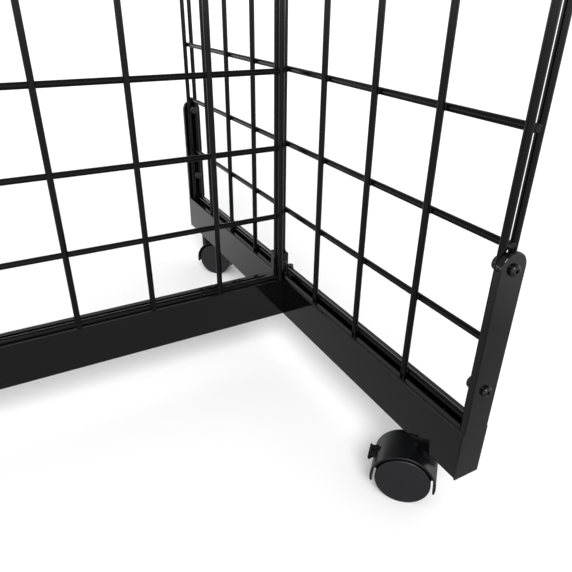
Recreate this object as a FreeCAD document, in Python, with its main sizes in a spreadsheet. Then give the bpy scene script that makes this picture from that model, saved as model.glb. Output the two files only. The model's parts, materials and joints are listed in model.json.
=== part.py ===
import FreeCAD, Part
import os
from math import cos, radians, sin

# Gridwall H-shaped display stand on casters.
# Millimetres. +X runs along the centre panel, +Y from the front of the end panels to their
# back, +Z up. The origin is on the floor, under the middle of the stand.

doc = FreeCAD.newDocument("gridwall_stand")

# ---------------------------------------------------------------- driving dimensions
DIMENSIONS = {
    # welded wire panels
    "grid_pitch": 76.2,
    "grid_rows": 16,
    "centre_columns": 16,
    "end_half_columns": 3,
    "wire_radius": 2.9,
    "wire_layer": 5.12,
    "edge_inset": 1.1,
    "wire_overhang": 3.0,
    # base rails: rectangular tubes with a slot along the top
    "rail_width": 25.4,
    "rail_height": 49.3,
    "rail_wall": 1.5,
    "rail_bend": 2.0,
    "rail_slot": 10.0,
    "slot_margin": 14.0,
    "end_spacing": 1255.2,
    "cross_shift": -2.5,
    "panel_shift": -12.5,
    "panel_setback": 18.0,
    # uprights at the ends of the end rails
    "upright_height": 202.3,
    "upright_depth": 4.8,
    "upright_wall": 1.6,
    "upright_face": 311.8,
    "upright_hole": 2.8,
    "screw_spacing": 101.6,
    "screw_radius": 2.0,
    "screw_head_radius": 4.6,
    "screw_head_height": 3.1,
    "cap_nut_radius": 5.5,
    "cap_nut_height": 4.2,
    # joining clips between the panels
    "clip_wall": 1.6,
    "clip_height": 24.0,
    "clip_overhang": 5.5,
    "clip_bolt_radius": 2.5,
    "clip_head_radius": 4.5,
    "clip_head_height": 3.2,
    "clip_nut_width": 8.0,
    "clip_nut_height": 4.0,
    # junction of the cross rail with the end rails
    "tongue_length": 80.0,
    "tongue_width": 20.0,
    "tongue_wall": 2.0,
    "lip_screw_radius": 1.5,
    "lip_flange_radius": 4.4,
    "lip_hex_width": 7.0,
    "lip_nut_width": 5.5,
    # casters
    "caster_height": 63.2,
    "caster_reach": 268.2,
    "caster_trail": 18.3,
    "wheel_radius": 25.0,
    "wheel_gap": 3.2,
    "caster_half_width": 18.9,
    "wheel_chamfer": 0.8,
    "bore_clearance": 0.05,
    "axle_radius": 3.0,
    "axle_length": 30.0,
    "hood_radius": 29.6,
    "hood_wall": 2.0,
    "hood_sweep": 204.0,
    "hood_web": 5.8,
    "stem_boss_radius": 9.5,
    "stem_pin_radius": 3.5,
    "stem_collar_radius": 8.0,
    "stem_collar_height": 1.9,
    "stem_thread_radius": 4.0,
    "stem_nut_width": 13.0,
    "stem_nut_height": 6.5,
    "stem_washer_radius": 8.0,
    "stem_washer_height": 1.6,
    # brake levers
    "lever_pivot_out": 15.5,
    "lever_pivot_up": 16.0,
    "lever_tilt": 16.7,
    "lever_knuckle": 3.4,
    "lever_fork": 5.2,
    "lever_rib": 1.8,
    "lever_thickness": 3.0,
    "pedal_length": 18.9,
    "pedal_width": 18.0,
    "pedal_gap": 0.4,
    "lever_pin_radius": 1.25,
}

sheet = doc.addObject("Spreadsheet::Sheet", "dims")
for row, (alias, value) in enumerate(DIMENSIONS.items(), start=1):
    sheet.set(f"A{row}", alias)
    sheet.set(f"B{row}", str(value))
    sheet.setAlias(f"B{row}", alias)
doc.recompute()


def dim(alias):
    return float(getattr(sheet, alias))


# ---------------------------------------------------------------- helpers
X_AXIS = FreeCAD.Vector(1, 0, 0)
Y_AXIS = FreeCAD.Vector(0, 1, 0)
Z_AXIS = FreeCAD.Vector(0, 0, 1)


def bind(obj, bindings):
    """Bind properties of an object to expressions on the sheet; 'd.' stands for 'dims.'."""
    for name, expression in bindings.items():
        obj.setExpression(name, expression.replace("d.", "dims."))
    return obj


def place(obj, x="0", y="0", z="0", turn=None):
    """Place an object: the position is three expressions, turn is (axis, degrees)."""
    if turn:
        obj.Placement = FreeCAD.Placement(FreeCAD.Vector(), FreeCAD.Rotation(*turn))
    position = {"x": x, "y": y, "z": z}
    return bind(obj, {f"Placement.Base.{axis}": text for axis, text in position.items()})


def box(name, length, width, height, x="0", y="0", z="0", turn=None):
    """Box whose low corner is at the given position."""
    obj = doc.addObject("Part::Box", name)
    bind(obj, {"Length": length, "Width": width, "Height": height})
    return place(obj, x, y, z, turn)


def cylinder(name, radius, height, x="0", y="0", z="0", turn=None, angle=None):
    """Cylinder that starts at the given position and runs along its turned Z axis."""
    obj = doc.addObject("Part::Cylinder", name)
    bind(obj, {"Radius": radius, "Height": height})
    if angle:
        bind(obj, {"Angle": angle})
    return place(obj, x, y, z, turn)


def hexagon(name, across_flats, height, x="0", y="0", z="0", turn=None):
    """Hexagonal prism, given its width across the flats."""
    obj = doc.addObject("Part::Prism", name)
    obj.Polygon = 6
    bind(obj, {"Circumradius": f"({across_flats}) / sqrt(3)", "Height": height})
    return place(obj, x, y, z, turn)


def cut(name, base, tool):
    obj = doc.addObject("Part::Cut", name)
    obj.Base = base
    obj.Tool = tool
    return obj


def cut_all(name, base, tools):
    """Take several tools out of one base."""
    return cut(name, base, fuse(name + "_tools", tools) if len(tools) > 1 else tools[0])


def fuse(name, shapes):
    obj = doc.addObject("Part::MultiFuse", name)
    obj.Shapes = shapes
    return obj


def group(name, shapes):
    """Several separate, identical solids in one node."""
    obj = doc.addObject("Part::Compound", name)
    obj.Links = shapes
    return obj


def round_edges(name, base, radius, wanted, kind="Part::Fillet"):
    """Fillet or chamfer the edges of a base for which wanted(edge) is true."""
    doc.recompute()
    obj = doc.addObject(kind, name)
    obj.Base = base
    numbers = [i for i, edge in enumerate(base.Shape.Edges, start=1) if wanted(edge)]
    obj.Edges = [(i, radius, radius) for i in numbers]
    return obj


def runs_along(edge, axis):
    """True for a straight edge parallel to an axis."""
    if edge.Curve.TypeId != "Part::GeomLine":
        return False
    return abs(abs(edge.tangentAt(edge.FirstParameter).dot(axis)) - 1) < 1e-6


def flat_at(edge, axis, level):
    """True for an edge that lies in the plane across an axis at a level."""
    bounds = edge.BoundBox
    low, high = {
        "x": (bounds.XMin, bounds.XMax),
        "y": (bounds.YMin, bounds.YMax),
        "z": (bounds.ZMin, bounds.ZMax),
    }[axis]
    return abs(low - level) < 1e-3 and abs(high - level) < 1e-3


nodes = []


def node(obj, name, x=0.0, y=0.0, angle=0.0):
    """Give a finished sub-part its name, its turn about Z and its place on the floor plan."""
    obj.Label = name
    turn = FreeCAD.Rotation(Z_AXIS, angle)
    obj.Placement = FreeCAD.Placement(FreeCAD.Vector(x, y, 0), turn).multiply(obj.Placement)
    nodes.append((name, obj))
    return obj


RAIL_TOP = "(d.caster_height + d.rail_height)"
FIRST_ROW = f"({RAIL_TOP} + d.wire_overhang)"
PANEL_HEIGHT = "(d.grid_rows * d.grid_pitch + 2 * d.wire_overhang)"
END_EDGE = "((d.end_half_columns + 1) * d.grid_pitch - d.edge_inset)"
end_x = dim("end_spacing") / 2
SIDES = {"left": -1, "right": 1}
CORNERS = {"front": -1, "back": 1}


# ---------------------------------------------------------------- welded wire panels
def upright_wire(name, x, y):
    return cylinder(name, "d.wire_radius", PANEL_HEIGHT, x, y, RAIL_TOP)


def end_panel(side):
    """Two feet wide; single wires stand on the inner face and the side edges are doubled."""
    name = f"end_panel_{side}"
    inward = "-" if side == "right" else ""
    wires = []
    columns = int(dim("end_half_columns"))
    for column in range(-columns, columns + 1):
        wires.append(upright_wire(f"{name}_wire", f"{inward}d.wire_layer", f"{column} * d.grid_pitch"))
    for edge in ("-", ""):
        for face in ("-", ""):
            wires.append(upright_wire(f"{name}_edge", f"{face}d.wire_layer", f"{edge}{END_EDGE}"))
    half = f"({END_EDGE} + d.wire_overhang)"
    for row_number in range(int(dim("grid_rows")) + 1):
        height = f"{FIRST_ROW} + {row_number} * d.grid_pitch"
        wires.append(cylinder(f"{name}_row", "d.wire_radius", f"2 * {half}", "0", f"-{half}", height,
                              (X_AXIS, -90)))
    node(fuse(name, wires), name, SIDES[side] * end_x)


def centre_panel():
    """Wires stand on the front face only, and the two side edges are doubled."""
    edge = "(d.end_spacing / 2 - d.panel_setback)"
    front = "(d.panel_shift - d.wire_layer)"
    back = "(d.panel_shift + d.wire_layer)"
    columns = int(dim("centre_columns"))
    wires = []
    for column in range(1, columns):
        wires.append(upright_wire("centre_wire", f"{column} * d.grid_pitch - {edge}", front))
    for x in (f"-{edge}", edge):
        for y in (front, back):
            wires.append(upright_wire("centre_edge", x, y))
    half = f"({edge} + d.wire_overhang)"
    for row_number in range(int(dim("grid_rows")) + 1):
        height = f"{FIRST_ROW} + {row_number} * d.grid_pitch"
        wires.append(cylinder("centre_row", "d.wire_radius", f"2 * {half}", f"-{half}", "d.panel_shift",
                              height, (Y_AXIS, 90)))
    node(fuse("centre_panel", wires), "centre_panel")


# ---------------------------------------------------------------- base rails
def slotted_tube(name, length, slot_length):
    """Rectangular tube along Y, centred on the origin, with a slot along its top."""
    outer = box(name + "_outer", "d.rail_width", length, "d.rail_height",
                "-d.rail_width / 2", f"-({length}) / 2", "d.caster_height")
    bent = round_edges(name + "_bent", outer, dim("rail_bend"), lambda e: runs_along(e, Y_AXIS))
    inside = box(name + "_inside", "d.rail_width - 2 * d.rail_wall", f"{length} + 2",
                 "d.rail_height - 2 * d.rail_wall", "-d.rail_width / 2 + d.rail_wall",
                 f"-({length}) / 2 - 1", "d.caster_height + d.rail_wall")
    slot = box(name + "_slot", "d.rail_slot", slot_length, "3 * d.rail_wall",
               "-d.rail_slot / 2", f"-({slot_length}) / 2", f"{RAIL_TOP} - 2 * d.rail_wall")
    return bent, [inside, slot]


def end_rail(side):
    """Rail under an end panel, open at its ends, which the uprights close."""
    name = f"end_rail_{side}"
    outward = SIDES[side]
    length = "2 * (d.upright_face - d.upright_wall)"
    bent, tools = slotted_tube(name, length, f"{length} + 2")
    window_x = "-d.rail_width / 2 - 1" if outward > 0 else "d.rail_width / 2 - d.rail_wall - 1"
    tools.append(box(name + "_window", "d.rail_wall + 2", "d.tongue_width + 0.4", "d.tongue_wall + 0.4",
                     window_x, "d.cross_shift - d.tongue_width / 2 - 0.2",
                     f"{RAIL_TOP} - d.rail_wall - d.tongue_wall - 0.2"))
    tools.append(cylinder(name + "_lip_hole", "d.lip_screw_radius", "3 * d.rail_wall",
                          f"{outward} * {LIP_SCREW_OUT}", LIP_SCREW_Y, f"{RAIL_TOP} - 2 * d.rail_wall"))
    for sign in ("-", ""):
        tools.append(cylinder(name + "_stem_hole", "d.stem_thread_radius", "3 * d.rail_wall",
                              "0", f"{sign}d.caster_reach", "d.caster_height - d.rail_wall"))
    node(cut_all(name, bent, tools), name, outward * end_x)


def cross_rail():
    """Rail under the centre panel; its slot stops short of both ends."""
    length = "d.end_spacing - d.rail_width"
    bent, tools = slotted_tube("cross_rail", length, f"{length} - 2 * d.slot_margin")
    node(cut_all("cross_rail", bent, tools), "cross_rail", 0, dim("cross_shift"), 90)


# The screw of each junction goes down through the outer lip of the end rail.
LIP_SCREW_OUT = "8.1"
LIP_SCREW_Y = "5.0"


def junction_bracket(side):
    """Flat tongue welded under the cross rail's top that reaches under the end rail's outer lip."""
    name = f"junction_tongue_{side}"
    outward = SIDES[side]
    level = f"{RAIL_TOP} - d.rail_wall - d.tongue_wall"
    reach = "(d.rail_width / 2 - d.rail_wall)"
    start = f"{reach} - d.tongue_length" if outward > 0 else f"-{reach}"
    plate = box(name + "_plate", "d.tongue_length", "d.tongue_width", "d.tongue_wall",
                start, "d.cross_shift - d.tongue_width / 2", level)
    hole = cylinder(name + "_hole", "d.lip_screw_radius", "3 * d.tongue_wall",
                    f"{outward} * {LIP_SCREW_OUT}", LIP_SCREW_Y, f"{level} - d.tongue_wall")
    node(cut(name, plate, hole), name, outward * end_x)


def lip_fasteners():
    """Flanged hex screw on each outer lip, with a nut under the tongue."""
    screws = []
    nuts = []
    under = f"({RAIL_TOP} - d.rail_wall - d.tongue_wall)"
    for side, outward in SIDES.items():
        at = f"{outward} * (d.end_spacing / 2 + {LIP_SCREW_OUT})"
        flange = cylinder("lip_flange", "d.lip_flange_radius", "1.0", at, LIP_SCREW_Y, RAIL_TOP)
        head = hexagon("lip_head", "d.lip_hex_width", "5.0", at, LIP_SCREW_Y, RAIL_TOP)
        shank = cylinder("lip_shank", "d.lip_screw_radius", "12.0", at, LIP_SCREW_Y, f"{RAIL_TOP} - 11.0")
        screws.append(fuse(f"lip_screw_{side}", [flange, head, shank]))
        nut = hexagon("lip_nut_body", "d.lip_nut_width", "3.2", at, LIP_SCREW_Y, f"{under} - 3.2",
                      (Z_AXIS, 30))
        bore = cylinder("lip_nut_bore", "d.lip_screw_radius", "5.0", at, LIP_SCREW_Y, f"{under} - 4.0")
        nuts.append(cut(f"lip_nut_{side}", nut, bore))
    node(group("lip_screws", screws), "lip_screws")
    node(group("lip_nuts", nuts), "lip_nuts")


# ---------------------------------------------------------------- uprights
def upright_blank(name, width, depth, start_y, bottom):
    """Flat bar with a round top, standing with its back at start_y."""
    shoulder = "(d.caster_height + d.upright_height - d.rail_width / 2)"
    bar = box(name + "_bar", width, depth, f"{shoulder} - ({bottom})", f"-({width}) / 2", start_y, bottom)
    top = cylinder(name + "_top", f"({width}) / 2", depth, "0", start_y, shoulder, (X_AXIS, -90))
    return fuse(name, [bar, top])


def upright(corner, side):
    """Shallow channel with a round top: its web closes the rail's end and its rim faces the panel."""
    name = f"upright_{corner}_{side}"
    front = -dim("upright_face")
    blank = upright_blank(name + "_blank", "d.rail_width", "d.upright_depth", "-d.upright_face",
                          "d.caster_height")
    bent = round_edges(name + "_bent", blank, 1.2,
                       lambda e: flat_at(e, "y", front) and not flat_at(e, "z", dim("caster_height"))
                       and not (runs_along(e, X_AXIS)))
    dish = upright_blank(name + "_dish", "d.rail_width - 2 * d.upright_wall", "d.upright_depth",
                         "-d.upright_face + d.upright_wall", RAIL_TOP)
    heel = box(name + "_heel", "d.rail_width + 2", "d.upright_depth", "d.rail_height + 1",
               "-d.rail_width / 2 - 1", "-d.upright_face + d.upright_wall", "d.caster_height - 1")
    tools = [dish, heel]
    for number, height in enumerate(SCREW_HEIGHTS):
        tools.append(cylinder(f"{name}_hole_{number}", "d.upright_hole", "10.0",
                              "0", "-d.upright_face - 2", height, (X_AXIS, -90)))
    angle = 0 if corner == "front" else 180
    node(cut_all(name, bent, tools), name, SIDES[side] * end_x, 0, angle)


TOP_SCREW = "(d.caster_height + d.upright_height - d.rail_width / 2)"
SCREW_HEIGHTS = [TOP_SCREW, f"({TOP_SCREW} - d.screw_spacing)"]


def upright_fasteners():
    """Eight button-head screws through the uprights and the doubled edge wires, with cap nuts inside."""
    screws = []
    cap_nuts = []
    web_face = dim("upright_face")
    wire_face = dim("grid_pitch") * (dim("end_half_columns") + 1) - dim("edge_inset") - dim("wire_radius")
    head_height = dim("screw_head_height")
    nut_height = dim("cap_nut_height")
    reach = web_face - wire_face + nut_height - 1.0
    for side, outward in SIDES.items():
        x = f"{outward} * d.end_spacing / 2"
        for corner, sign in CORNERS.items():
            inward = (X_AXIS, 90 * sign)
            outer_level = sign * (web_face + head_height)
            nut_level = sign * (wire_face - nut_height)
            for height in SCREW_HEIGHTS:
                head = cylinder("screw_head", "d.screw_head_radius", "d.screw_head_height", x,
                                str(outer_level), height, inward)
                dome = round_edges("screw_dome", head, 1.8, lambda e, y=outer_level: flat_at(e, "y", y))
                shank = cylinder("screw_shank", "d.screw_radius", str(reach), x, str(sign * web_face),
                                 height, inward)
                socket = hexagon("screw_socket", "3.0", "2.0", x, str(outer_level + sign * 0.1),
                                 height, inward)
                screws.append(cut(f"screw_{corner}_{side}", fuse("screw_body", [dome, shank]), socket))
                cap = cylinder("cap_nut", "d.cap_nut_radius", "d.cap_nut_height", x, str(sign * wire_face),
                               height, inward)
                cap_dome = round_edges("cap_nut_dome", cap, 1.4, lambda e, y=nut_level: flat_at(e, "y", y))
                bore = cylinder("cap_nut_bore", "d.screw_radius", str(nut_height - 1.0), x,
                                str(sign * wire_face), height, inward)
                cap_nuts.append(cut(f"cap_nut_{corner}_{side}", cap_dome, bore))
    node(group("upright_screws", screws), "upright_screws")
    node(group("cap_nuts", cap_nuts), "cap_nuts")


# ---------------------------------------------------------------- joining clips
# Each clip bridges the rear edge wire of the centre panel and the middle wire of an end panel.
# The coordinates are those of the right end; the left end mirrors them. "In" is towards the stand's
# middle, so the distances below count inwards from the end panel's plane.
CLIP_LEVELS = {
    "lower": f"({FIRST_ROW} + d.wire_radius + 0.6)",
    "upper": f"({FIRST_ROW} + d.grid_rows * d.grid_pitch - d.wire_radius - 0.6 - d.clip_height)",
}
FAR_WIRE_Y = "(d.panel_shift + d.wire_layer)"
CLIP_MIDDLE_IN = "((d.panel_setback + d.wire_layer) / 2)"


def clip_plate(side, level, face):
    """L-shaped plate: a flat leg behind one wire and a short toe that bears on the other wire."""
    name = f"clip_{face}_{level}_{side}"
    outward = SIDES[side]
    bottom = CLIP_LEVELS[level]
    wall = "d.clip_wall"
    wire = "d.wire_radius"
    leg_length = "(d.panel_setback - d.wire_layer + d.clip_wall / 2 + d.clip_overhang)"
    toe_height = f"(-{FAR_WIRE_Y} + {wall})"
    if face == "front":
        leg_in = "(d.panel_setback + d.clip_overhang)"
        leg_y = f"{FAR_WIRE_Y} - {wire} - {wall}"
        toe_in = "(d.wire_layer + d.clip_wall / 2)"
        toe_y = leg_y
    else:
        leg_in = "(d.panel_setback + d.clip_wall / 2)"
        leg_y = wire
        toe_in = leg_in
        toe_y = f"{FAR_WIRE_Y} + {wire}"
    leg_x = f"-{leg_in}" if outward > 0 else f"{leg_in} - {leg_length}"
    toe_x = f"-{toe_in}" if outward > 0 else f"{toe_in} - {wall}"
    leg = box(name + "_leg", leg_length, wall, "d.clip_height", leg_x, leg_y, bottom)
    toe = box(name + "_toe", wall, toe_height, "d.clip_height", toe_x, toe_y, bottom)
    hole = cylinder(name + "_hole", "d.clip_bolt_radius", "40.0", f"{-outward} * {CLIP_MIDDLE_IN}",
                    "-20", f"{bottom} + d.clip_height / 2", (X_AXIS, -90))
    plate = cut(name + "_plate", fuse(name + "_blank", [leg, toe]), hole)
    free_end = dim("panel_setback") + dim("clip_overhang")
    if face == "back":
        free_end = dim("wire_layer") - dim("clip_overhang")
    rounded = round_edges(name, plate, 3.0, lambda e: runs_along(e, Y_AXIS)
                          and abs(e.Vertexes[0].X + outward * free_end) < 0.01)
    node(rounded, name, outward * end_x)


def clip_fasteners():
    """Pan-head bolt and hex nut of each clip."""
    bolts = []
    nuts = []
    head_y = f"({FAR_WIRE_Y} - d.wire_radius - d.clip_wall)"
    nut_y = "(d.wire_radius + d.clip_wall)"
    for side, outward in SIDES.items():
        x = f"{outward} * (d.end_spacing / 2 - {CLIP_MIDDLE_IN})"
        for level, bottom in CLIP_LEVELS.items():
            z = f"{bottom} + d.clip_height / 2"
            turn = (X_AXIS, -90)
            head = cylinder("clip_head", "d.clip_head_radius", "d.clip_head_height", x,
                            f"{head_y} - d.clip_head_height", z, turn)
            shank = cylinder("clip_shank", "d.clip_bolt_radius", f"{nut_y} - {head_y} + 6.0",
                             x, head_y, z, turn)
            bolts.append(fuse(f"clip_bolt_{level}_{side}", [head, shank]))
            body = hexagon("clip_nut_body", "d.clip_nut_width", "d.clip_nut_height", x, nut_y, z, turn)
            bore = cylinder("clip_nut_bore", "d.clip_bolt_radius", "8.0", x, f"{nut_y} - 1", z, turn)
            nuts.append(cut(f"clip_nut_{level}_{side}", body, bore))
    node(group("clip_bolts", bolts), "clip_bolts")
    node(group("clip_nuts", nuts), "clip_nuts")


# ---------------------------------------------------------------- casters
# Every caster is built about its stem, which is the local Z axis. The wheels trail along -X, and
# the wheel axle runs along Y.
HUB_X = "(-d.caster_trail)"
HUB_Z = "d.wheel_radius"
BOSS_TOP = "(d.caster_height - d.stem_collar_height - 0.1)"
PIVOT_X = "(-d.caster_trail - d.lever_pivot_out)"
PIVOT_Z = "(d.wheel_radius + d.lever_pivot_up)"
ALONG_Y = (X_AXIS, -90)


def across(name, radius, width, x=HUB_X, z=HUB_Z):
    """Cylinder along Y, centred on the caster's middle plane."""
    return cylinder(name, radius, width, x, f"-({width}) / 2", z, ALONG_Y)


def caster_stem(tag, spot):
    """Threaded stem with a collar under the rail and a plain pin that the housing turns on."""
    collar = cylinder(f"stem_{tag}_collar", "d.stem_collar_radius", "d.stem_collar_height",
                      z="d.caster_height - d.stem_collar_height")
    pin = cylinder(f"stem_{tag}_pin", "d.stem_pin_radius", "17.0", z="d.caster_height - 17.0")
    thread = cylinder(f"stem_{tag}_thread", "d.stem_thread_radius", "13.0", z="d.caster_height - 1.0")
    node(fuse(f"stem_{tag}", [collar, pin, thread]), f"caster_stem_{tag}", *spot)


def hood_sector(name, radius, width):
    """Pie-shaped slab about the wheel axle that covers the top of the wheels."""
    obj = cylinder(name, radius, width, angle="d.hood_sweep")
    half_open = (dim("hood_sweep") - 180) / 2
    upright_turn = FreeCAD.Rotation(X_AXIS, 90)
    start = FreeCAD.Rotation(Z_AXIS, -half_open)
    obj.Placement = FreeCAD.Placement(FreeCAD.Vector(), upright_turn.multiply(start))
    return bind(obj, {"Placement.Base.x": HUB_X, "Placement.Base.y": f"({width}) / 2",
                      "Placement.Base.z": HUB_Z})


def caster_housing(tag, spot):
    """Hood over both wheels, one piece with the web between them and the boss for the stem."""
    full = "2 * d.caster_half_width"
    name = f"housing_{tag}"
    hood = hood_sector(name + "_hood", "d.hood_radius", full)
    shell = cut(name + "_shell", hood, across(name + "_room", "d.hood_radius - d.hood_wall", f"{full} + 2"))
    tips = round_edges(name + "_tips", shell, 0.85,
                       lambda e: runs_along(e, Y_AXIS) and e.BoundBox.ZMax < dim("wheel_radius"))
    boss = cylinder(name + "_boss", "d.stem_boss_radius", f"{BOSS_TOP} - 38.0", z="38.0")
    room = []
    for number, y in enumerate(("d.hood_web / 2", "-d.hood_web / 2 - 30.0")):
        room.append(cylinder(f"{name}_wheel_room_{number}", "d.hood_radius - d.hood_wall", "30.0",
                             HUB_X, y, HUB_Z, ALONG_Y))
    boss_clear = cut_all(name + "_boss_clear", boss, room)
    web = hood_sector(name + "_web", "d.hood_radius - d.hood_wall / 2", "d.hood_web")
    hub = across(name + "_hub", "3 * d.axle_radius", "d.hood_web")
    body = fuse(name + "_body", [tips, boss_clear, web, hub])
    tools = [
        across(name + "_axle_bore", "d.axle_radius", "d.hood_web + 2"),
        cylinder(name + "_stem_bore", "d.stem_pin_radius + d.bore_clearance", "20.0",
                 z="d.caster_height - 17.5"),
        box(name + "_lever_slot", "12.9", "d.lever_fork + 0.8", "7.6",
            f"{PIVOT_X} - 15.5", "-(d.lever_fork + 0.8) / 2", f"{PIVOT_Z} - 5.6"),
    ]
    for number, y in enumerate(("d.lever_rib / 2", "-d.lever_fork / 2 - 0.4")):
        tools.append(cylinder(f"{name}_fork_room_{number}", "d.lever_knuckle + 0.4",
                              "(d.lever_fork - d.lever_rib) / 2 + 0.4", PIVOT_X, y, PIVOT_Z, ALONG_Y))
    tools.append(across(name + "_pin_bore", "d.lever_pin_radius", "20.0", PIVOT_X, PIVOT_Z))
    node(cut_all(name, body, tools), f"caster_housing_{tag}", *spot)


def caster_axle(tag, spot):
    rod = across(f"axle_{tag}_rod", "d.axle_radius", "d.axle_length")
    node(group(f"axle_{tag}", [rod]), f"caster_axle_{tag}", *spot)


def caster_wheel(tag, spot, face):
    """Wheel with a blind bore, so its outer face is one smooth disc."""
    name = f"wheel_{face}_{tag}"
    sign = 1 if face == "outer" else -1
    width = "(d.caster_half_width - d.wheel_gap)"
    start = "d.wheel_gap" if sign > 0 else "-d.caster_half_width"
    disc = cylinder(name + "_disc", "d.wheel_radius", width, HUB_X, start, HUB_Z, ALONG_Y)
    outer_level = sign * dim("caster_half_width")
    edged = round_edges(name + "_edged", disc, dim("wheel_chamfer"),
                        lambda e: flat_at(e, "y", outer_level), "Part::Chamfer")
    bore = across(name + "_bore", "d.axle_radius + d.bore_clearance", "d.axle_length + 1.0")
    dish_y = "d.wheel_gap - 1.0" if sign > 0 else "-d.wheel_gap - 4.0"
    dish = cylinder(name + "_dish", "d.wheel_radius - 3.0", "5.0", HUB_X, dish_y, HUB_Z, ALONG_Y)
    hub = cylinder(name + "_hub", "2.4 * d.axle_radius", "5.0", HUB_X, dish_y, HUB_Z, ALONG_Y)
    ring = cut(name + "_ring", dish, hub)
    node(cut_all(name, edged, [bore, ring]), f"caster_wheel_{face}_{tag}", *spot)


def brake_lever(tag, spot):
    """Pedal on a forked arm that straddles the housing's rib; it slopes down when the brake is on."""
    name = f"lever_{tag}"
    knuckle = across(name + "_knuckle", "d.lever_knuckle", "d.lever_fork", "0", "0")
    low = "-d.lever_thickness / 2"
    neck = box(name + "_neck", "d.pedal_length - 1.0", "d.lever_fork", "d.lever_thickness",
               "-(d.pedal_length - 1.0)", "-d.lever_fork / 2", low)
    pad = box(name + "_pad", "d.pedal_length", "d.pedal_width", "d.lever_thickness",
              "-d.pedal_length", "-d.pedal_width / 2", low)
    hub_x = "d.lever_pivot_out * cos(d.lever_tilt) - d.lever_pivot_up * sin(d.lever_tilt)"
    hub_z = "-d.lever_pivot_out * sin(d.lever_tilt) - d.lever_pivot_up * cos(d.lever_tilt)"
    hood_room = across(name + "_hood_room", "d.hood_radius + d.pedal_gap", "30.0", hub_x, hub_z)
    body = fuse(name + "_body", [knuckle, neck, cut(name + "_pedal", pad, hood_room)])
    slit = box(name + "_slit", "11.5", "d.lever_rib + 0.2", "20.0", "-4.5",
               "-(d.lever_rib + 0.2) / 2", "-10.0")
    pin_hole = across(name + "_pin_hole", "d.lever_pin_radius + d.bore_clearance", "20.0", "0", "0")
    tools = [slit, pin_hole]
    for number, sign in enumerate((-1, 1)):
        tools.append(cylinder(f"{name}_waist_{number}", "3.6", "20.0", "-d.pedal_length + 4.6",
                              f"{sign} * (d.pedal_width / 2 + 1.4)", "-10.0"))
    lever = cut_all(name, body, tools)
    place(lever, PIVOT_X, "0", PIVOT_Z, (Y_AXIS, -dim("lever_tilt")))
    node(group(f"{name}_hung", [lever]), f"brake_lever_{tag}", *spot)


def lever_pin(tag, spot):
    rod = across(f"lever_pin_{tag}_rod", "d.lever_pin_radius", "d.lever_fork", PIVOT_X, PIVOT_Z)
    node(group(f"lever_pin_{tag}_group", [rod]), f"lever_pin_{tag}", *spot)


def stem_fasteners(spots):
    """Washer and nut inside the rail on every stem."""
    washers = []
    nuts = []
    floor = "(d.caster_height + d.rail_wall)"
    nut_level = f"({floor} + d.stem_washer_height)"
    for x, y, angle in spots:
        ring = cylinder("stem_washer_disc", "d.stem_washer_radius", "d.stem_washer_height",
                        str(x), str(y), floor)
        hole = cylinder("stem_washer_hole", "d.stem_thread_radius", "10.0", str(x), str(y), f"{floor} - 2")
        washers.append(cut("stem_washer", ring, hole))
        body = hexagon("stem_nut_body", "d.stem_nut_width", "d.stem_nut_height",
                       str(x), str(y), nut_level)
        bore = cylinder("stem_nut_bore", "d.stem_thread_radius", "20.0", str(x), str(y), f"{floor} - 2")
        nuts.append(cut("stem_nut", body, bore))
    node(group("caster_washers", washers), "caster_washers")
    node(group("caster_nuts", nuts), "caster_nuts")


# Swivel angle at rest of each caster: the direction from its axle to its stem, in degrees.
SWIVEL_ANGLES = {
    ("front", "right"): -45.7,
    ("back", "right"): 134.3,
    ("front", "left"): -134.3,
    ("back", "left"): 45.7,
}

# ---------------------------------------------------------------- the stand
for side in SIDES:
    end_panel(side)
    end_rail(side)
    junction_bracket(side)
    for corner in CORNERS:
        upright(corner, side)
    for level in CLIP_LEVELS:
        for face in ("front", "back"):
            clip_plate(side, level, face)
centre_panel()
cross_rail()
upright_fasteners()
clip_fasteners()
lip_fasteners()

spots = []
for (corner, side), angle in SWIVEL_ANGLES.items():
    tag = f"{corner}_{side}"
    spot = (SIDES[side] * end_x, CORNERS[corner] * dim("caster_reach"), angle)
    spots.append(spot)
    caster_stem(tag, spot)
    caster_housing(tag, spot)
    caster_axle(tag, spot)
    caster_wheel(tag, spot, "outer")
    caster_wheel(tag, spot, "inner")
    brake_lever(tag, spot)
    lever_pin(tag, spot)
stem_fasteners(spots)

# ---------------------------------------------------------------- check and write
doc.recompute()
for obj in doc.Objects:
    if "Invalid" in obj.State or "Error" in obj.State:
        raise RuntimeError(f"{obj.Label}: {obj.State}")

os.makedirs("parts", exist_ok=True)
for name, obj in nodes:
    if obj.Shape.isNull() or not obj.Shape.isValid():
        raise RuntimeError(f"{name}: bad shape")
    obj.Shape.exportStep(f"parts/{name}.step")
    size = obj.Shape.BoundBox
    lengths = f"{size.XLength:.1f} x {size.YLength:.1f} x {size.ZLength:.1f}"
    print(f"{name}: {len(obj.Shape.Solids)} solids, {lengths}")
print(len(nodes), "nodes")
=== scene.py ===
# %% [markdown]
# # Gridwall display stand on casters
# The stand is bought flat and put together in the shop: welded wire panels stand on slotted steel
# rails, short uprights close the rails' ends, and a braked twin-wheel caster sits near every end.
# This lesson models each of those pieces over its CAD counterpart, in the same frame.

import json
from math import atan2, degrees, radians

import bpy
from mathutils import Matrix, Vector


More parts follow.
